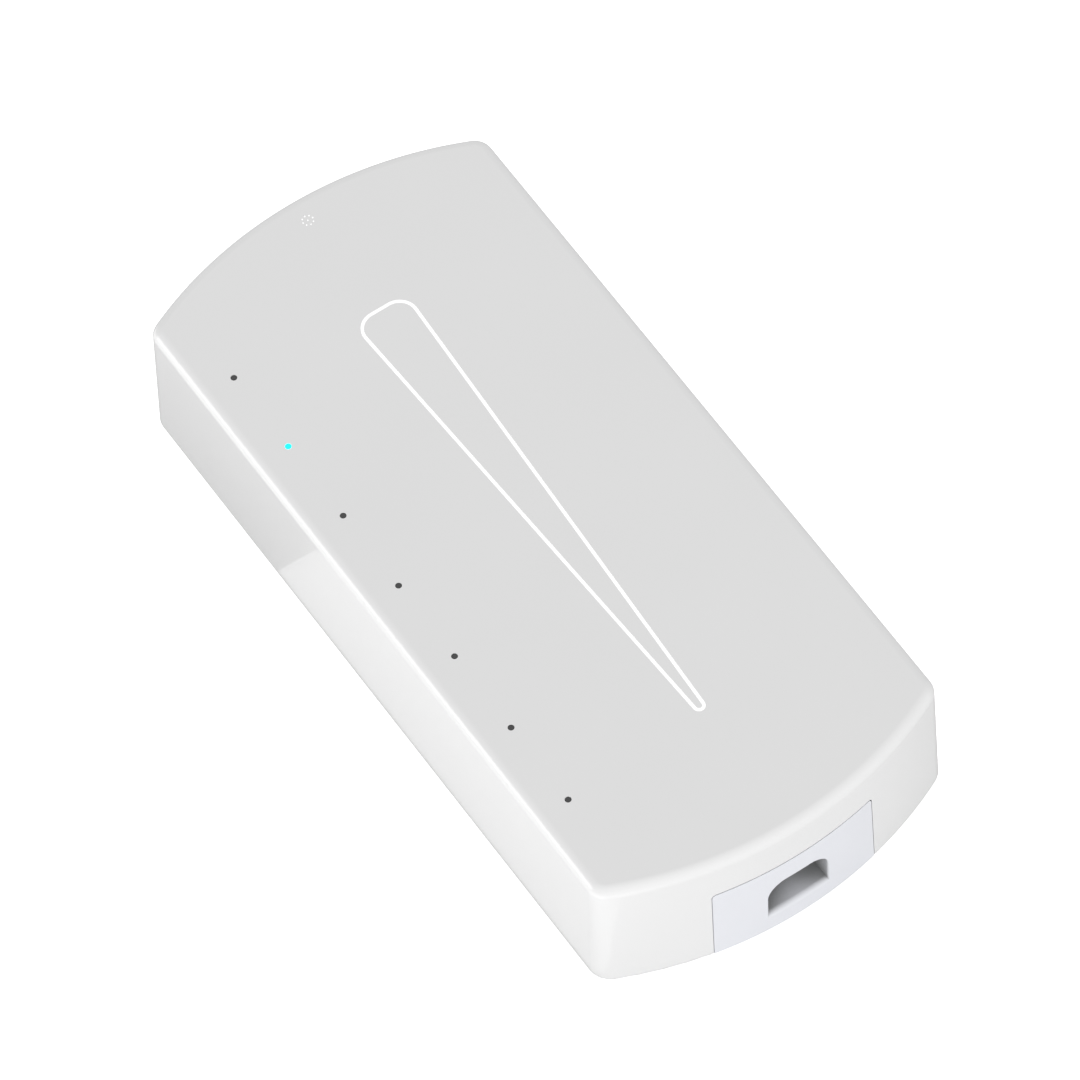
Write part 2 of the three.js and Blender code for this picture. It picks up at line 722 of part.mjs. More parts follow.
function commsSockets() {
  const low = BAY_Z - GAP - 14;
  let made = block([-30, 10], [-166, -146], [low, BAY_Z - GAP]);
  for (const x of [-20, 0])
    made = made.subtract(block([x - 6, x + 6], [-161, -152], [low - 5, low + 11]));
  return made;
}

function entryGrommet() {
  const frame = (grow, back, front) =>
    block([-ENTRY.x - grow, ENTRY.x + grow], [front, back], [ENTRY.z[0] - grow, ENTRY.z[1] + grow]);
  const flange = frame(5, TRAY_FRONT - GAP, TRAY_FRONT - 2.5);
  const neck = frame(-0.4, -TRAY_BACK + 2, TRAY_FRONT - 1);
  return join(flange, neck).subtract(frame(-3, 0, -40));
}

// A box that closes the wiring bay: its walls run from the shell's end up to the bay panel,
// and the service cover seats on the ledge inside them.
function coverFrame() {
  const top = BAY_Z - GAP;
  const walls = prism(coverOutline(-3), -600, top).subtract(
    prism(coverOutline(-0.8, 5), -601, top + 1),
  );
  const ledge = prism(coverOutline(-1), ...FRAME_Z).subtract(
    prism(coverOutline(LEDGE, 5), FRAME_Z[0] - 1, FRAME_Z[1] + 1),
  );
  const inside = body(WALL + GAP, 5, 2);
  const tray = block([-200, 200], [TRAY_FRONT - GAP, 9], [-600, -400]);
  return join(walls, ledge).intersect(inside).subtract(tray);
}

const LEDGE = 24; // how far the ledge reaches in
const CATCH_X = 102;
const CATCH_Y = -122;

const catchMagnet = () => bar("z", [0, 0], [FRAME_Z[0] - 4.3, FRAME_Z[0] - GAP], 7, 16);
const strikePlate = () => bar("z", [0, 0], [FRAME_Z[0] - 6.6, FRAME_Z[0] - 4.6], 7, 16);

const EARTH = [-150, -30];
const earthStud = () =>
  join(
    bar("z", EARTH, [BAY_Z - 16, BAY_Z - GAP], 3, 12),
    bar("z", EARTH, [BAY_Z - 6, BAY_Z - GAP], 6, 6),
  );

// ---------------------------------------------------------------- service cover
function serviceCover() {
  const outer = body(0, -RIM / 4, 4);
  const region = prism(coverOutline(COVER_GAP, 2, COVER_FRONT_GAP), -600, -470);
  const panel = outer.intersect(region).subtract(body(WALL, 5, 2));
  const pocket = outer.intersect(prism(pocketOutline(), -600, GRIP_TOP + GRIP_WALL));
  const posts = [-CATCH_X, CATCH_X].map((x) =>
    outer.intersect(bar("z", [x, CATCH_Y], [-560, FRAME_Z[0] - 6.9], 7, 16)),
  );
  const runners = [-89.2, 89.2].map((x) =>
    outer.intersect(block([x - 1.2, x + 1.2], [-100, -30], [-560, -498])),
  );
  return join(panel, pocket, ...posts, ...runners).subtract(gripHollow());
}

// ---------------------------------------------------------------- cables
class Route extends THREE.CatmullRomCurve3 {
  constructor(points) {
    super(points.map((p) => new THREE.Vector3(...p)), false, "centripetal");
  }
}

function cable(points, r, steps) {
  const section = new THREE.Shape();
  section.absarc(0, 0, r, 0, 2 * Math.PI);
  return new THREE.ExtrudeGeometry(section, {
    steps,
    curveSegments: 4,
    bevelEnabled: false,
    extrudePath: new Route(points),
  });
}

const CABLE_TOP = LINK_BACK - 14;
const CABLE_END = -104; // in front of the fuse and the contactor

// From a lower module's inner stud down to the parts above the wiring bay.
const powerCable = (side, endX, endZ) =>
  cable(
    [
      [side * INNER_STUD_X, LINK_BACK - 2.5, studZ(1)],
      [side * INNER_STUD_X, CABLE_TOP, studZ(1) - 6],
      [side * INNER_STUD_X, CABLE_TOP - 2, studZ(1) - 40],
      [side * 60, CABLE_TOP - 2, -240],
      [side * 100, CABLE_TOP, -340],
      [endX, CABLE_TOP + 6, endZ + 30],
      [endX, CABLE_END, endZ],
      [endX, CABLE_END + 24, endZ],
    ],
    5,
    34,
  );

// ---------------------------------------------------------------- assembly
const unit = new THREE.Group();

function add(name, made, material, place = [0, 0, 0]) {
  const geometry = made.isBufferGeometry ? made : geometryOf(made);
  const mesh = new THREE.Mesh(geometry, material);
  mesh.name = name;
  mesh.position.set(...place);
  unit.add(mesh);
}

add("wall_bracket", wallBracket(), MATERIAL.steel);
add("hook_rail_upper", hookRail(HOOK_Z[0]), MATERIAL.steel);
add("hook_rail_lower", hookRail(HOOK_Z[1]), MATERIAL.steel);
add("back_tray", backTray(), MATERIAL.zinc);
add("shell_gasket", shellGasket(), MATERIAL.rubber);
add("front_shell", frontShell(), MATERIAL.shell);
SHELL_SCREWS.forEach(([x, z], i) =>
  add(`shell_screw_${i + 1}`, shellScrew(), MATERIAL.steel, [x, -TRAY_BACK + GAP, z]),
);
add("wedge_light_guide", wedgeLightGuide(), MATERIAL.lightGuide);
lensHeights.forEach((z, i) => {
  const material = i === LIT_LENS ? MATERIAL.lensLit : MATERIAL.lens;
  add(`charge_lens_${i + 1}`, chargeLens(), material, [LENS_X, FRONT, z]);
});
add("touch_ring_guide", touchRingGuide(), MATERIAL.lightGuide);
add("charge_led_board", chargeLedBoard(), MATERIAL.board);
add("display_board", displayBoard(), MATERIAL.board);
MODULE_Z.forEach((z, row) =>
  [-MODULE_X, MODULE_X].forEach((x, column) => {
    const name = `cell_module_${2 * row + column + 1}`;
    add(name, cellModule(), MATERIAL.greyPlastic, [x, MODULE_BACK, z]);
  }),
);
add("busbar_left", uprightLink(-MODULE_X - STUD_X), MATERIAL.copper);
add("busbar_right", uprightLink(MODULE_X + STUD_X), MATERIAL.copper);
add("busbar_cross", crossLink(), MATERIAL.copper);
add("module_strap_upper", moduleStrap(STRAP_Z[0]), MATERIAL.steel);
add("module_strap_lower", moduleStrap(STRAP_Z[1]), MATERIAL.steel);
STRAP_Z.forEach((z, row) =>
  [-POST_X, POST_X].forEach((x, column) =>
    add(`strap_post_${2 * row + column + 1}`, strapPost(), MATERIAL.steel, [x, 0, z]),
  ),
);
add("heat_sink", heatSink(), MATERIAL.aluminium);
add("inverter_board", inverterBoard(), MATERIAL.board);
add("bms_board", bmsBoard(), MATERIAL.board);
add("contactor", contactor(), MATERIAL.darkPlastic);
add("main_fuse", mainFuse(), MATERIAL.greyPlastic);
add("bay_panel", bayPanel(), MATERIAL.steel);
add("isolator_body", isolatorBody(), MATERIAL.darkPlastic);
add("isolator_knob", isolatorKnob(), MATERIAL.redPlastic);
add("breaker_body", breakerBody(), MATERIAL.greyPlastic);
add("breaker_lever", breakerLever(), MATERIAL.darkPlastic);
add("button_switch", buttonSwitch(), MATERIAL.darkPlastic);
add("start_button", startButton(), MATERIAL.greyPlastic);
add("terminal_block", terminalBlock(), MATERIAL.greyPlastic);
add("comms_sockets", commsSockets(), MATERIAL.darkPlastic);
add("entry_grommet", entryGrommet(), MATERIAL.rubber);
add("cover_frame", coverFrame(), MATERIAL.darkPlastic);
for (const [side, x] of [["left", -CATCH_X], ["right", CATCH_X]]) {
  add(`catch_magnet_${side}`, catchMagnet(), MATERIAL.steel, [x, CATCH_Y, 0]);
  add(`strike_plate_${side}`, strikePlate(), MATERIAL.steel, [x, CATCH_Y, 0]);
}
add("earth_stud", earthStud(), MATERIAL.copper);
add("service_cover", serviceCover(), MATERIAL.cover);
add("positive_cable", powerCable(-1, -142, -415), MATERIAL.cableRed);
add("negative_cable", powerCable(1, 141, -421), MATERIAL.cableBlack);

unit.rotation.x = -Math.PI / 2;

export default unit;
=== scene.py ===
"""Looks of the wall battery unit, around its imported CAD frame.

Metres, +Z out of the front face, +Y to the upper end.
"""

import json
import math

import bmesh
import bpy
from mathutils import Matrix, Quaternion, Vector


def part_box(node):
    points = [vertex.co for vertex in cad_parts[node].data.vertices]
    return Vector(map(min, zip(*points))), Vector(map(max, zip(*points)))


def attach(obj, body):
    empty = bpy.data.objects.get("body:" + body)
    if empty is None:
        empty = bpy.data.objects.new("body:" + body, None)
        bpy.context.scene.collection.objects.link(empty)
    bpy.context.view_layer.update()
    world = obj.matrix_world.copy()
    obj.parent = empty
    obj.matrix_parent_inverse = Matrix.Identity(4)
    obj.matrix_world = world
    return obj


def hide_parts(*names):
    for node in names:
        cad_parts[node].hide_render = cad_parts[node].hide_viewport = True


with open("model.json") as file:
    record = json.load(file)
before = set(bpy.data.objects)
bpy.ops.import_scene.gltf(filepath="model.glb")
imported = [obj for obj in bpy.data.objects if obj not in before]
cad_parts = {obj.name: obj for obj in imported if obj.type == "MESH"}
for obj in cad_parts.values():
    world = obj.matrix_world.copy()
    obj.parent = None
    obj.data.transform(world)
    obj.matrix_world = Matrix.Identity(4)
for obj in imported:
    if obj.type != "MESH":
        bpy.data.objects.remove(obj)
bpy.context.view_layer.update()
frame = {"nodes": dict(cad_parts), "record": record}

MM = 0.001

# ---------------------------------------------------------------- driving dimensions
SHELL_LOW, SHELL_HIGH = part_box("front_shell")
DEPTH = SHELL_HIGH.z
HALF_WIDTH = 250 * MM
END_RADIUS = 544 * MM
DRAFT = 5 * MM
CORNER = 30 * MM
FILLET = 14 * MM
WALL = 3 * MM

COVER_HALF = 115 * MM
COVER_FLARE = 1.5 * MM
COVER_FRONT = 134 * MM
COVER_CORNER = 6 * MM
COVER_GAP = 1 * MM
COVER_FRONT_GAP = 1.8 * MM
COVER_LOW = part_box("service_cover")[0].z
GRIP_HALF = 42.5 * MM
GRIP_BACK = 27 * MM
GRIP_FRONT = 96 * MM
GRIP_CORNER = 27 * MM
GRIP_WALL = 2.5 * MM
GRIP_LIP = 7 * MM
GRIP_SIDE_LIP = 4 * MM
GRIP_FLOOR = 4 * MM
GRIP_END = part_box("service_cover")[1].y - GRIP_WALL

WEDGE_MID = -1 * MM
WEDGE_HALF_LENGTH = 343.5 * MM
WEDGE_TOP_HALF = 36.3 * MM
WEDGE_TIP_HALF = 6 * MM
WEDGE_TOP_CORNER = 23.5 * MM
WEDGE_STROKE = 4.4 * MM
WEDGE_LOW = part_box("wedge_light_guide")[0].z

LENS_COUNT = 7
LENS_LIT = 2
LENS_R = 4 * MM
DOT_R = 1.2 * MM
RING_R = 7 * MM
SLIT = 0.1 * MM  # clearance round everything that sits in the front face

TURN = 2 * math.pi

# The lower end of the body lies between these two in y.
BEYOND_END, BEHIND_END = -0.6, -0.47
SHAFT = 6 * MM  # depth of the cutters for round holes in the front face
FLANGE = 2 * MM  # thickness of the flange under a lens or the dots
CROWN = 0.5 * MM
RING_DOTS = 8


# ---------------------------------------------------------------- outlines
def arc(centre, radius, start, end, steps):
    return [
        (
            centre[0] + radius * math.cos(start + (end - start) * i / steps),
            centre[1] + radius * math.sin(start + (end - start) * i / steps),
        )
        for i in range(steps + 1)
    ]


def without_repeats(points):
    return [
        p for i, p in enumerate(points) if math.dist(p, points[(i + 1) % len(points)]) > 1e-7
    ]


def plan(inset):
    """The body's plan at the wall, moved inwards: a disc cut by a strip, with rounded corners."""
    half = HALF_WIDTH - inset
    radius = END_RADIUS - inset
    corner = max(CORNER - inset, 2 * MM)
    x = half - corner
    y = math.sqrt((radius - corner) ** 2 - x**2)
    meet = math.atan2(y, x)
    end_steps, corner_steps = 72, 12
    return without_repeats(
        arc((x, y), corner, 0, meet, corner_steps)
        + arc((0, 0), radius, meet, math.pi - meet, end_steps)
        + arc((-x, y), corner, math.pi - meet, math.pi, corner_steps)
        + arc((-x, -y), corner, math.pi, math.pi + meet, corner_steps)
        + arc((0, 0), radius, math.pi + meet, TURN - meet, end_steps)
        + arc((x, -y), corner, TURN - meet, TURN, corner_steps)
    )


def cover_outline(inset, low, top_inset):
    """The service cover in x and z, from `low` up."""
    top = COVER_FRONT - top_inset
    half = COVER_HALF - inset
    r = COVER_CORNER
    return (
        [(-half - COVER_FLARE, low), (half + COVER_FLARE, low)]
        + arc((half - r, top - r), r, 0, math.pi / 2, 8)
        + arc((-half + r, top - r), r, math.pi / 2, math.pi, 8)
    )


def grip_outline(low, grow=0.0):
    """The finger pull in x and z: flat towards the wall, rounded towards the front."""
    half = GRIP_HALF + grow
    top = GRIP_FRONT + grow
    r = GRIP_CORNER + grow
    return (
        [(half * (i / 10 - 1), low) for i in range(21)]
        + arc((half - r, top - r), r, 0, math.pi / 2, 20)
        + arc((-half + r, top - r), r, math.pi / 2, math.pi, 20)
    )


def wedge_outline(grow):
    """The tapered loop in x and y, moved outwards from its centre line."""
    lean = math.atan((WEDGE_TOP_HALF - WEDGE_TIP_HALF) / (2 * WEDGE_HALF_LENGTH))
    top_x = WEDGE_TOP_HALF - WEDGE_TOP_CORNER
    top_y = WEDGE_MID + WEDGE_HALF_LENGTH - WEDGE_TOP_CORNER
    tip_y = WEDGE_MID - WEDGE_HALF_LENGTH + WEDGE_TIP_HALF
    return (
        arc((top_x, top_y), WEDGE_TOP_CORNER + grow, -lean, math.pi / 2, 24)
        + arc((-top_x, top_y), WEDGE_TOP_CORNER + grow, math.pi / 2, math.pi + lean, 24)
        + arc((0, tip_y), WEDGE_TIP_HALF + grow, math.pi + lean, TURN - lean, 20)
    )


def centre_of(node):
    low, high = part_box(node)
    return (low + high) / 2


LENS_NODES = [f"charge_lens_{i + 1}" for i in range(LENS_COUNT)]
LENS_PLACES = [centre_of(node).xy for node in LENS_NODES]
RING_CENTRE = centre_of("touch_ring_guide").xy
DOT_PLACES = [RING_CENTRE] + [
    RING_CENTRE + RING_R * Vector((math.sin(TURN * i / RING_DOTS), math.cos(TURN * i / RING_DOTS)))
    for i in range(RING_DOTS)
]


# ---------------------------------------------------------------- meshes
def new_object(name, vertices, faces):
    mesh = bpy.data.meshes.new(name)
    mesh.from_pydata(vertices, [], faces)
    mesh.update()
    made = bpy.data.objects.new(name, mesh)
    bpy.context.scene.collection.objects.link(made)
    return made


def stack(name, rings):
    """A closed body through rings of equal count, lowest first, anticlockwise from above."""
    count = len(rings[0])
    faces = [tuple(reversed(range(count)))]
    for r in range(len(rings) - 1):
        for i in range(count):
            j = (i + 1) % count
            faces.append(
                (r * count + i, r * count + j, (r + 1) * count + j, (r + 1) * count + i)
            )
    faces.append(tuple((len(rings) - 1) * count + i for i in range(count)))
    return new_object(name, [p for ring in rings for p in ring], faces)


def slab(name, outline, low, high):
    """An outline in x and y, from one height to another."""
    return stack(name, [[(x, y, z) for x, y in outline] for z in (low, high)])


def prism(name, outline, low, high):
    """An outline in x and z, from one y to another."""
    return stack(name, [[(x, y, z) for x, z in outline] for y in (high, low)])


def disc(name, centre, radius, low, high, sides):
    return slab(name, arc(centre, radius, 0, TURN * (1 - 1 / sides), sides - 1), low, high)


def body(name, inset, low, fillet_steps=10):
    """The outer body shrunk by `inset`, with its draft and its front fillet."""
    fillet = FILLET - inset
    foot = DEPTH - FILLET
    draft = DRAFT / DEPTH
    levels = [(low, inset + draft * low), (foot, inset + draft * foot)]
    for i in range(1, fillet_steps + 1):
        a = math.pi / 2 * i / fillet_steps
        levels.append(
            (foot + fillet * math.sin(a), inset + draft * foot + fillet * (1 - math.cos(a)))
        )
    return stack(name, [[(x, y, z) for x, y in plan(across)] for z, across in levels])


def combine(target, tools, operation):
    for tool in tools:
        step = target.modifiers.new("combine", "BOOLEAN")
        step.operation = operation
        step.solver = "EXACT"
        step.object = tool
        bpy.context.view_layer.update()
        evaluated = target.evaluated_get(bpy.context.evaluated_depsgraph_get())
        mesh = bpy.data.meshes.new_from_object(evaluated)
        target.modifiers.clear()
        target.data = mesh
        bpy.data.objects.remove(tool)
    return target


def cut(target, *tools):
    return combine(target, tools, "DIFFERENCE")


def join(target, *tools):
    return combine(target, tools, "UNION")


def common(target, *tools):
    return combine(target, tools, "INTERSECT")


def without_slivers(obj):
    """Merges the very short edges that the cuts leave: they spoil the normals beside them."""
    mesh = bmesh.new()
    mesh.from_mesh(obj.data)
    bmesh.ops.remove_doubles(mesh, verts=mesh.verts, dist=0.16 * MM)
    bmesh.ops.dissolve_degenerate(mesh, edges=mesh.edges, dist=0.05 * MM)
    mesh.to_mesh(obj.data)
    mesh.free()
    return obj


def soften(obj, width, segments=2, angle=35):
    """Rounds the sharp edges a little, and lets the large faces rule the normals."""
    for face in obj.data.polygons:
        face.use_smooth = True
    if width:
        bevel = obj.modifiers.new("edges", "BEVEL")
        bevel.width = width
        bevel.segments = segments
        bevel.limit_method = "ANGLE"
        bevel.angle_limit = math.radians(angle)
        bevel.use_clamp_overlap = True
    normals = obj.modifiers.new("normals", "WEIGHTED_NORMAL")
    normals.mode = "FACE_AREA"
    normals.weight = 100
    return obj


# ---------------------------------------------------------------- materials
def node_tree(name):
    material = bpy.data.materials.new(name)
    material.use_nodes = True
    nodes, links = material.node_tree.nodes, material.node_tree.links
    return material, nodes, links, nodes["Principled BSDF"]


def noise(nodes, links, scale, detail=3.0, stretch=(1, 1, 1)):
    """Noise over the object's own space; scale is in features per metre."""
    coordinates = nodes.new("ShaderNodeTexCoord")
    mapping = nodes.new("ShaderNodeMapping")
    mapping.inputs["Scale"].default_value = stretch
    links.new(coordinates.outputs["Object"], mapping.inputs["Vector"])
    texture = nodes.new("ShaderNodeTexNoise")
    texture.inputs["Scale"].default_value = scale
    texture.inputs["Detail"].default_value = detail
    links.new(mapping.outputs["Vector"], texture.inputs["Vector"])
    return texture.outputs["Fac"]


def spread(nodes, links, value, low, high):
    """Maps a noise value's middle range to low..high."""
    to_range = nodes.new("ShaderNodeMapRange")
    to_range.inputs["From Min"].default_value = 0.3
    to_range.inputs["From Max"].default_value = 0.7
    to_range.inputs["To Min"].default_value = low
    to_range.inputs["To Max"].default_value = high
    links.new(value, to_range.inputs["Value"])
    return to_range.outputs["Result"]


def mottled(nodes, links, value, colour, amount):
    """The colour, a little darker and lighter with the noise value."""
    mix = nodes.new("ShaderNodeMix")
    mix.data_type = "RGBA"
    mix.inputs["A"].default_value = (*[c * (1 - amount) for c in colour], 1)
    mix.inputs["B"].default_value = (*[min(c * (1 + amount), 1) for c in colour], 1)
    links.new(value, mix.inputs["Factor"])
    return mix.outputs["Result"]


def worn(nodes, links, colour_out, wear_colour, amount):
    """Edges that stick out show a little of another tone."""
    geometry = nodes.new("ShaderNodeNewGeometry")
    ramp = nodes.new("ShaderNodeMapRange")
    ramp.inputs["From Min"].default_value = 0.52
    ramp.inputs["From Max"].default_value = 0.62
    ramp.inputs["To Max"].default_value = amount
    links.new(geometry.outputs["Pointiness"], ramp.inputs["Value"])
    mix = nodes.new("ShaderNodeMix")
    mix.data_type = "RGBA"
    mix.inputs["B"].default_value = (*wear_colour, 1)
    links.new(colour_out, mix.inputs["A"])
    links.new(ramp.outputs["Result"], mix.inputs["Factor"])
    return mix.outputs["Result"]


def paint_hollow_shade(nodes, links, colour_out, reach, level):
    """Painted shade: the colour darkens in deep hollows by ambient occlusion, on top of the shade
    that the lighting gives.
    """
    hollow = nodes.new("ShaderNodeAmbientOcclusion")
    hollow.samples = 6
    hollow.only_local = True
    hollow.inputs["Distance"].default_value = reach
    ramp = nodes.new("ShaderNodeMapRange")
    ramp.inputs["From Min"].default_value = 0.6
    ramp.inputs["From Max"].default_value = 0.98
    links.new(hollow.outputs["AO"], ramp.inputs["Value"])
    dim = nodes.new("ShaderNodeMix")
    dim.data_type = "RGBA"
    dim.blend_type = "MULTIPLY"
    dim.inputs["Factor"].default_value = 1.0
    links.new(colour_out, dim.inputs["A"])
    shade = nodes.new("ShaderNodeMix")
    shade.data_type = "RGBA"
    shade.inputs["A"].default_value = level
    shade.inputs["B"].default_value = (1, 1, 1, 1)
    links.new(ramp.outputs["Result"], shade.inputs["Factor"])
    links.new(shade.outputs["Result"], dim.inputs["B"])
    return dim.outputs["Result"]


def finish_of(
    name,
    colour,
    roughness,
    metallic=0.0,
    grain=900,
    depth=0.00004,
    mottle=0.03,
    patches=14,
    coat=0.0,
    coat_roughness=0.1,
    stretch=(1, 1, 1),
    wear=None,
    rough_range=0.06,
    hollows=None,
):
    """A moulded, painted or metal surface: mottled, unevenly glossy, with a fine grain; optionally
    with painted shade in its hollows.
    """
    material, nodes, links, shader = node_tree(name)
    wide = noise(nodes, links, patches, 4.0)
    fine = noise(nodes, links, grain, 2.0, stretch)
    tone = mottled(nodes, links, spread(nodes, links, wide, 0, 1), colour, mottle)
    if wear:
        tone = worn(nodes, links, tone, wear, 0.35)
    # Painted shade: the colour darkens in deep hollows.
    if hollows:
        tone = paint_hollow_shade(nodes, links, tone, *hollows)
    links.new(tone, shader.inputs["Base Color"])
    rough = spread(nodes, links, fine, roughness - rough_range, roughness + rough_range)
    links.new(rough, shader.inputs["Roughness"])
    bump = nodes.new("ShaderNodeBump")
    bump.inputs["Strength"].default_value = 0.35
    bump.inputs["Distance"].default_value = depth
    links.new(fine, bump.inputs["Height"])
    links.new(bump.outputs["Normal"], shader.inputs["Normal"])
    shader.inputs["Metallic"].default_value = metallic
    shader.inputs["Coat Weight"].default_value = coat
    shader.inputs["Coat Roughness"].default_value = coat_roughness
    return material


def glowing(name, colour, strength, base=(0.9, 0.9, 0.9), mottle=0.04):
    """A diffusing light guide: it glows slightly unevenly."""
    material, nodes, links, shader = node_tree(name)
    cloud = noise(nodes, links, 120, 2.0)
    level = spread(nodes, links, cloud, 0, 1)
    links.new(mottled(nodes, links, level, colour, mottle), shader.inputs["Emission Color"])
    links.new(mottled(nodes, links, level, base, mottle), shader.inputs["Base Color"])
    shader.inputs["Emission Strength"].default_value = strength
    links.new(spread(nodes, links, cloud, 0.3, 0.4), shader.inputs["Roughness"])
    return material


def circuit_board(name):
    """Green solder mask over copper tracks, with tinned pads."""
    material, nodes, links, shader = node_tree(name)
    coordinates = nodes.new("ShaderNodeTexCoord")
    tracks = nodes.new("ShaderNodeTexBrick")
    tracks.inputs["Scale"].default_value = 90
    tracks.inputs["Mortar Size"].default_value = 0.03
    tracks.inputs["Color1"].default_value = (0.012, 0.10, 0.045, 1)
    tracks.inputs["Color2"].default_value = (0.016, 0.13, 0.055, 1)
    tracks.inputs["Mortar"].default_value = (0.05, 0.24, 0.09, 1)
    links.new(coordinates.outputs["Object"], tracks.inputs["Vector"])
    pads = nodes.new("ShaderNodeTexVoronoi")
    pads.inputs["Scale"].default_value = 160
    links.new(coordinates.outputs["Object"], pads.inputs["Vector"])
    spots = nodes.new("ShaderNodeMapRange")
    spots.inputs["From Min"].default_value = 0.16
    spots.inputs["From Max"].default_value = 0.12
    links.new(pads.outputs["Distance"], spots.inputs["Value"])
    mix = nodes.new("ShaderNodeMix")
    mix.data_type = "RGBA"
    mix.inputs["B"].default_value = (0.62, 0.62, 0.58, 1)
    links.new(tracks.outputs["Color"], mix.inputs["A"])
    links.new(spots.outputs["Result"], mix.inputs["Factor"])
    links.new(mix.outputs["Result"], shader.inputs["Base Color"])
    fine = noise(nodes, links, 500, 2.0)
    links.new(spread(nodes, links, fine, 0.25, 0.4), shader.inputs["Roughness"])
    bump = nodes.new("ShaderNodeBump")
    bump.inputs["Distance"].default_value = 0.0001
    bump.inputs["Strength"].default_value = 0.5
    links.new(tracks.outputs["Fac"], bump.inputs["Height"])
    links.new(bump.outputs["Normal"], shader.inputs["Normal"])
    return material


SHELL_COLOUR = (0.82, 0.82, 0.82)
COVER_COLOUR = (0.78, 0.79, 0.83)
# Painted shade in the cover's finger pull: how far the occlusion reaches, and the colour it
# multiplies by when fully enclosed.
HOLLOW_REACH = 50 * MM
HOLLOW_SHADE_COLOUR = (0.36, 0.36, 0.345, 1)

MATERIALS = {
    "shell_white": finish_of(
        "shell_paint", SHELL_COLOUR, 0.42, grain=1400, depth=0.00002, mottle=0.006,
        patches=5, coat=0.6, coat_roughness=0.04, rough_range=0.04,
    ),
    # The cover's colour carries painted shade in the finger pull's hollow.
    "cover_white": finish_of(
        "cover_plastic", COVER_COLOUR, 0.5, grain=1700, depth=0.00003, mottle=0.008,
        patches=9, coat=0.1, coat_roughness=0.2, rough_range=0.05,
        hollows=(HOLLOW_REACH, HOLLOW_SHADE_COLOUR),
    ),
    "light_guide": glowing("guide_white", (1, 1, 1), 0.35),
    "lens_dark": finish_of(
        "lens_smoke", (0.035, 0.035, 0.036), 0.25, grain=600, depth=0.00001, mottle=0.12,
        patches=300, coat=0.5, coat_roughness=0.05,
    ),
    "lens_lit": glowing("lens_cyan", (0.0, 1.0, 0.93), 1.6, base=(0.0, 0.5, 0.5), mottle=0.08),
    "steel": finish_of(
        "zinc_plate", (0.62, 0.64, 0.66), 0.34, metallic=1.0, grain=260, mottle=0.08,
        stretch=(1, 14, 1), wear=(0.8, 0.82, 0.84),
    ),
    # Partly painted shade: the tray is given a dark grey so that the narrow gap under the shell's
    # rim shows as a dark line.
    "zinc_steel": finish_of(
        "coated_steel_and_gap_shade", (0.24, 0.245, 0.25), 0.5, metallic=0.35, grain=700, mottle=0.08,
        patches=60, wear=(0.42, 0.43, 0.44),
    ),
    "rubber": finish_of("epdm", (0.03, 0.03, 0.032), 0.78, grain=1500, depth=0.00008, mottle=0.15),
    "dark_plastic": finish_of(
        "glass_filled", (0.045, 0.048, 0.052), 0.55, grain=1800, depth=0.00006, mottle=0.12,
        wear=(0.12, 0.12, 0.13),
    ),
    "red_plastic": finish_of(
        "handle_red", (0.50, 0.025, 0.02), 0.42, grain=1500, depth=0.00005, mottle=0.08,
        wear=(0.62, 0.10, 0.08),
    ),
    "grey_plastic": finish_of(
        "case_grey", (0.36, 0.38, 0.40), 0.5, grain=1600, depth=0.00005, mottle=0.06,
        wear=(0.5, 0.52, 0.54),
    ),
    "circuit_board": circuit_board("solder_mask"),
    "copper": finish_of(
        "bare_copper", (0.80, 0.42, 0.26), 0.28, metallic=1.0, grain=300, mottle=0.12,
        stretch=(12, 1, 1), patches=40, wear=(0.9, 0.55, 0.38),
    ),
    "aluminium": finish_of(
        "extrusion", (0.72, 0.73, 0.74), 0.36, metallic=1.0, grain=300, mottle=0.05,
        stretch=(14, 1, 1), wear=(0.85, 0.86, 0.87),
    ),
    "cable_red": finish_of("jacket_red", (0.48, 0.02, 0.015), 0.5, grain=1400, mottle=0.08),
    "cable_black": finish_of("jacket_black", (0.02, 0.02, 0.021), 0.5, grain=1400, mottle=0.2),
}


def dress(obj, slot):
    obj.data.materials.clear()
    obj.data.materials.append(MATERIALS[slot])


def place(obj, slot, on, *nodes):
    """A piece made here stands for CAD nodes and moves with their body."""
    dress(obj, slot)
    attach(obj, on)
    if nodes:
        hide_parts(*nodes)
    return obj


# ---------------------------------------------------------------- pieces that show
def front_shell():
    shell = body("shell", 0, SHELL_LOW.z)
    inner = body("inside", WALL, -5 * MM, 4)
    mouth = prism("mouth", cover_outline(0, -6 * MM, 0), BEYOND_END, BEHIND_END)
    band = WEDGE_STROKE / 2 + SLIT
    groove = slab("groove", wedge_outline(band), WEDGE_LOW - 3 * SLIT, DEPTH + MM)
    island = slab("island", wedge_outline(-band), DEPTH / 2, DEPTH + 2 * MM)
    groove = cut(groove, island)
    holes = [
        disc("lens_hole", at, LENS_R + SLIT, DEPTH - SHAFT, DEPTH + MM, 40) for at in LENS_PLACES
    ]
    holes += [
        disc("dot_hole", at, DOT_R + SLIT, DEPTH - SHAFT, DEPTH + MM, 20) for at in DOT_PLACES
    ]
    cut(shell, inner, mouth, groove, *holes)
    soften(without_slivers(shell), 0.35 * MM, 2)
    return place(shell, "shell_white", "unit", "front_shell")


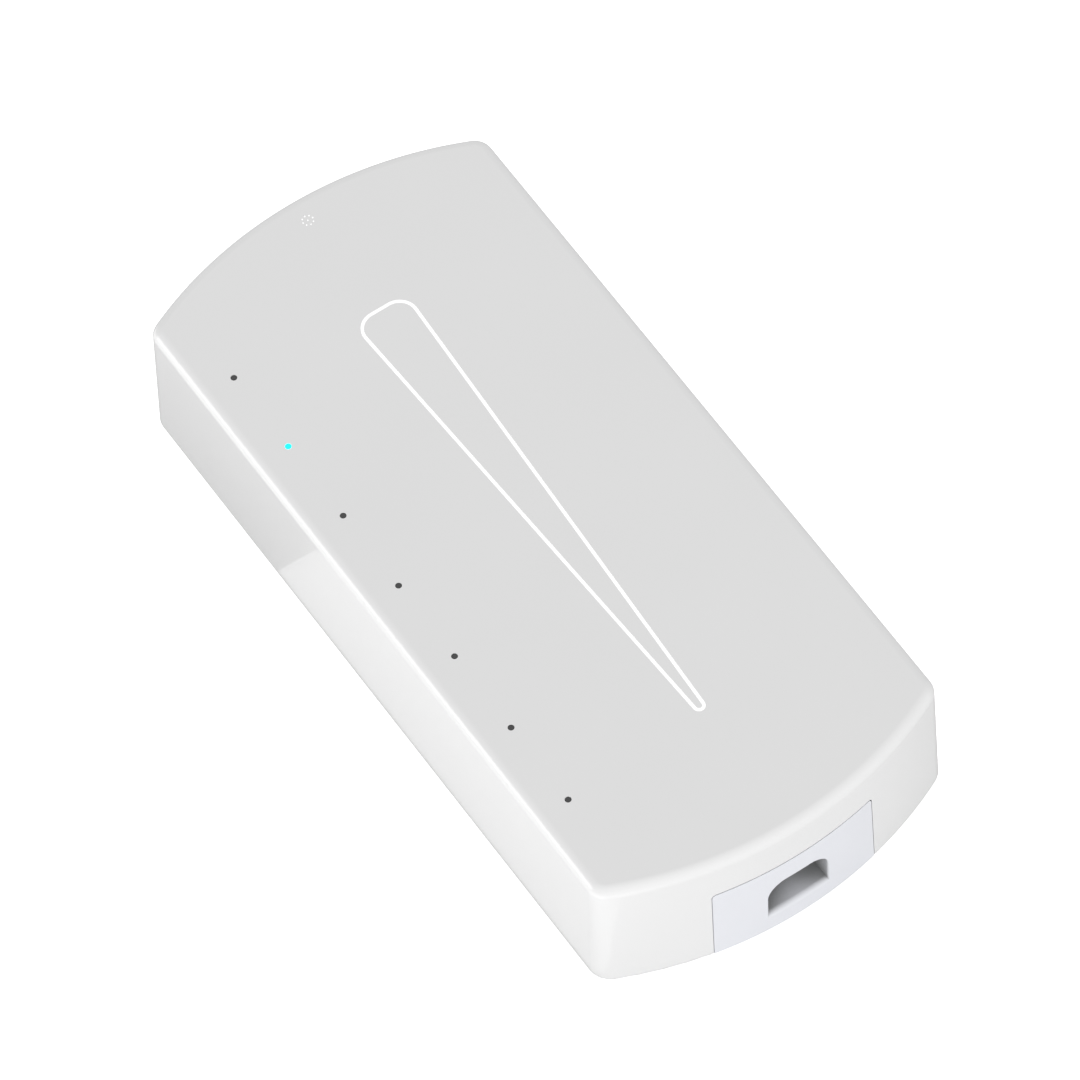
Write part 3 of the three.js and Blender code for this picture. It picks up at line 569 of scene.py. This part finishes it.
def grip_hollow():
    """Its edges at the wall side and at both sides round out to the curved end of the body."""
    radius = END_RADIUS - DRAFT * GRIP_BACK / DEPTH
    steps = 14
    levels = [(GRIP_BACK, -5 * MM, GRIP_SIDE_LIP)]
    for i in range(steps + 1):
        a = math.pi / 2 * i / steps
        depth = GRIP_LIP * (1 - math.cos(a))
        left = max(GRIP_SIDE_LIP - depth, 0)
        flare = GRIP_SIDE_LIP - math.sqrt(GRIP_SIDE_LIP**2 - left**2)
        levels.append((GRIP_BACK + GRIP_LIP * math.sin(a), depth, flare))
    rings = []
    for low, depth, flare in levels:
        wide = [(x * (1 + flare / GRIP_HALF), z) for x, z in grip_outline(low)]
        rings.append([(x, depth - math.sqrt(radius**2 - x**2), z) for x, z in wide])
    rings.append([(x, GRIP_END, z) for x, z in grip_outline(GRIP_BACK + GRIP_LIP)])
    return stack("grip", rings[::-1])


def service_cover():
    edge = cover_outline(COVER_GAP, COVER_LOW, COVER_FRONT_GAP)
    region = prism("region", edge, BEYOND_END, BEHIND_END)
    panel = cut(common(body("cover", 0, COVER_LOW), region), body("inside", WALL, -5 * MM, 4))
    outside = grip_outline(GRIP_BACK + GRIP_LIP - GRIP_FLOOR, GRIP_WALL)
    block = prism("pocket_wall", outside, BEYOND_END, GRIP_END + GRIP_WALL)
    join(panel, common(body("pocket", 0, COVER_LOW), block))
    cut(panel, grip_hollow())
    soften(without_slivers(panel), 0.5 * MM, 3)
    return place(panel, "cover_white", "cover", "service_cover")


def wedge_guide():
    guide = slab("wedge_band", wedge_outline(WEDGE_STROKE / 2 - SLIT), WEDGE_LOW, DEPTH)
    cut(guide, slab("inner", wedge_outline(-WEDGE_STROKE / 2 + SLIT), 0, DEPTH + MM))
    soften(guide, 0.15 * MM, 2)
    return place(guide, "light_guide", "unit", "wedge_light_guide")


def lens(node, lit):
    """A round lens with a shallow crown, on its flange."""
    low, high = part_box(node)
    centre = (low + high) / 2
    r = LENS_R - 2 * SLIT
    flange_r = (high.x - low.x) / 2
    flange_top = low.z + FLANGE
    profile = [(flange_r, low.z), (flange_r, flange_top), (r, flange_top), (r, high.z - CROWN)]
    for i in range(1, 6):
        a = math.pi / 2 * i / 6
        profile.append((r * math.cos(a), high.z - CROWN + CROWN * math.sin(a)))
    rings = [
        [
            (centre.x + pr * math.cos(TURN * k / 40), centre.y + pr * math.sin(TURN * k / 40), z)
            for k in range(40)
        ]
        for pr, z in profile
    ]
    made = stack(f"lens_{node[-1]}", rings)
    soften(made, 0)
    return place(made, "lens_lit" if lit else "lens_dark", "unit", node)


def ring_guide():
    low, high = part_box("touch_ring_guide")
    carrier_top = low.z + FLANGE
    guide = disc("ring_guide", RING_CENTRE, (high.x - low.x) / 2, low.z, carrier_top, 48)
    for at in DOT_PLACES:
        join(guide, disc("pin", at, DOT_R - 1.5 * SLIT, carrier_top - MM, high.z, 20))
    soften(guide, 0)
    return place(guide, "light_guide", "unit", "touch_ring_guide")


# ---------------------------------------------------------------- pieces kept from the CAD
def keep(node, obj, slot):
    dress(obj, slot)
    if obj.hide_render:
        return
    weld = obj.modifiers.new("weld", "WELD")
    weld.merge_threshold = 0.01 * MM
    soften(obj, 0.3 * MM, 2, 32)


# ---------------------------------------------------------------- studio
CAMERA_AZIMUTH = math.radians(-30.77)
CAMERA_ELEVATION = math.radians(58.63)
CAMERA_ROLL = math.radians(-3.93)
CAMERA_DISTANCE = 11.138
CAMERA_AIM = Vector((-0.0245, -0.0402, 0.1984))
CAMERA_LENS = 311.1

WORLD_LEVEL = 0.82
FLOOR_GLOW = 0.85
FLOOR_BOUNCE = 0.0
FLOOR_DROP = -0.2 * MM
FLOOR_SIZE = 9
LIGHT_DISTANCE = 22


def direction(azimuth, elevation):
    return Vector(
        (
            math.sin(azimuth) * math.cos(elevation),
            -math.cos(azimuth) * math.cos(elevation),
            math.sin(elevation),
        )
    )


def camera():
    data = bpy.data.cameras.new("camera")
    data.lens = CAMERA_LENS
    data.sensor_width = 36
    data.clip_end = 100
    made = bpy.data.objects.new("camera", data)
    back = direction(CAMERA_AZIMUTH, CAMERA_ELEVATION)
    made.location = CAMERA_AIM + back * CAMERA_DISTANCE
    made.rotation_mode = "QUATERNION"
    level = (-back).to_track_quat("-Z", "Y")
    made.rotation_quaternion = level @ Quaternion((0, 0, 1), CAMERA_ROLL)
    bpy.context.scene.collection.objects.link(made)
    bpy.context.scene.camera = made


def area_light(name, azimuth, elevation, size, power, diffuse=True, glossy=True):
    data = bpy.data.lights.new(name, "AREA")
    data.shape = "DISK"
    data.size = size
    data.energy = power
    made = bpy.data.objects.new(name, data)
    back = direction(math.radians(azimuth), math.radians(elevation))
    made.location = back * LIGHT_DISTANCE
    made.rotation_mode = "QUATERNION"
    made.rotation_quaternion = (-back).to_track_quat("-Z", "Y")
    made.visible_camera = False
    made.visible_diffuse = diffuse
    made.visible_glossy = glossy
    bpy.context.scene.collection.objects.link(made)


def floor_card(name, x, y, radiance):
    """A bright card lying on the floor; it shows in reflections only."""
    data = bpy.data.lights.new(name, "AREA")
    data.shape = "RECTANGLE"
    data.size = x[1] - x[0]
    data.size_y = y[1] - y[0]
    data.energy = radiance * math.pi * data.size * data.size_y
    made = bpy.data.objects.new(name, data)
    made.location = ((x[0] + x[1]) / 2, (y[0] + y[1]) / 2, 0.2 * MM)
    made.rotation_euler = (math.pi, 0, 0)
    made.visible_camera = False
    made.visible_diffuse = False
    bpy.context.scene.collection.objects.link(made)


def studio():
    scene = bpy.context.scene
    scene.view_settings.view_transform = "Standard"
    scene.view_settings.look = "None"
    world = bpy.data.worlds.new("studio")
    world.use_nodes = True
    scene.world = world
    nodes, links = world.node_tree.nodes, world.node_tree.links
    background = nodes["Background"]
    background.inputs["Color"].default_value = (1, 1, 1, 1)
    lit = nodes.new("ShaderNodeLightPath")
    level = nodes.new("ShaderNodeMapRange")
    level.inputs["To Min"].default_value = WORLD_LEVEL
    level.inputs["To Max"].default_value = 1.0
    links.new(lit.outputs["Is Camera Ray"], level.inputs["Value"])
    links.new(level.outputs["Result"], background.inputs["Strength"])

    corners = [(x * FLOOR_SIZE, y * FLOOR_SIZE, 0) for x, y in ((-1, -1), (1, -1), (1, 1), (-1, 1))]
    floor = new_object("floor", corners, [(0, 1, 2, 3)])
    floor.location.z = FLOOR_DROP
    material, nodes, links, shader = node_tree("floor_white")
    shader.inputs["Base Color"].default_value = (0.7, 0.7, 0.7, 1)
    shader.inputs["Roughness"].default_value = 0.9
    shader.inputs["Emission Color"].default_value = (1, 1, 1, 1)
    seen = nodes.new("ShaderNodeLightPath")
    glow = nodes.new("ShaderNodeMapRange")
    glow.inputs["To Min"].default_value = FLOOR_BOUNCE
    glow.inputs["To Max"].default_value = FLOOR_GLOW
    links.new(seen.outputs["Is Camera Ray"], glow.inputs["Value"])
    links.new(glow.outputs["Result"], shader.inputs["Emission Strength"])
    floor.data.materials.append(material)


camera()
studio()
area_light("left", -90, 12, 8, 380, glossy=False)
area_light("low_left", -45, 4, 8, 900, glossy=False)
area_light("low_front", 0, 4, 8, 1430, glossy=False)
area_light("rim", -118, 10, 14, 2100, diffuse=False)
floor_card("near_card", (-0.42, -0.253), (-1.6, 0.212), 0.507)
floor_card("outer_card", (-4.0, -0.42), (-1.5, 3.5), 1.7)

front_shell()
service_cover()
wedge_guide()
for number, lens_node in enumerate(LENS_NODES, 1):
    lens(lens_node, number == LENS_LIT)
ring_guide()

SLOT_OF = {row["node"]: row["material_slot"] for row in frame["record"]["subparts"]}
for node_name, cad_object in frame["nodes"].items():
    keep(node_name, cad_object, SLOT_OF[node_name])
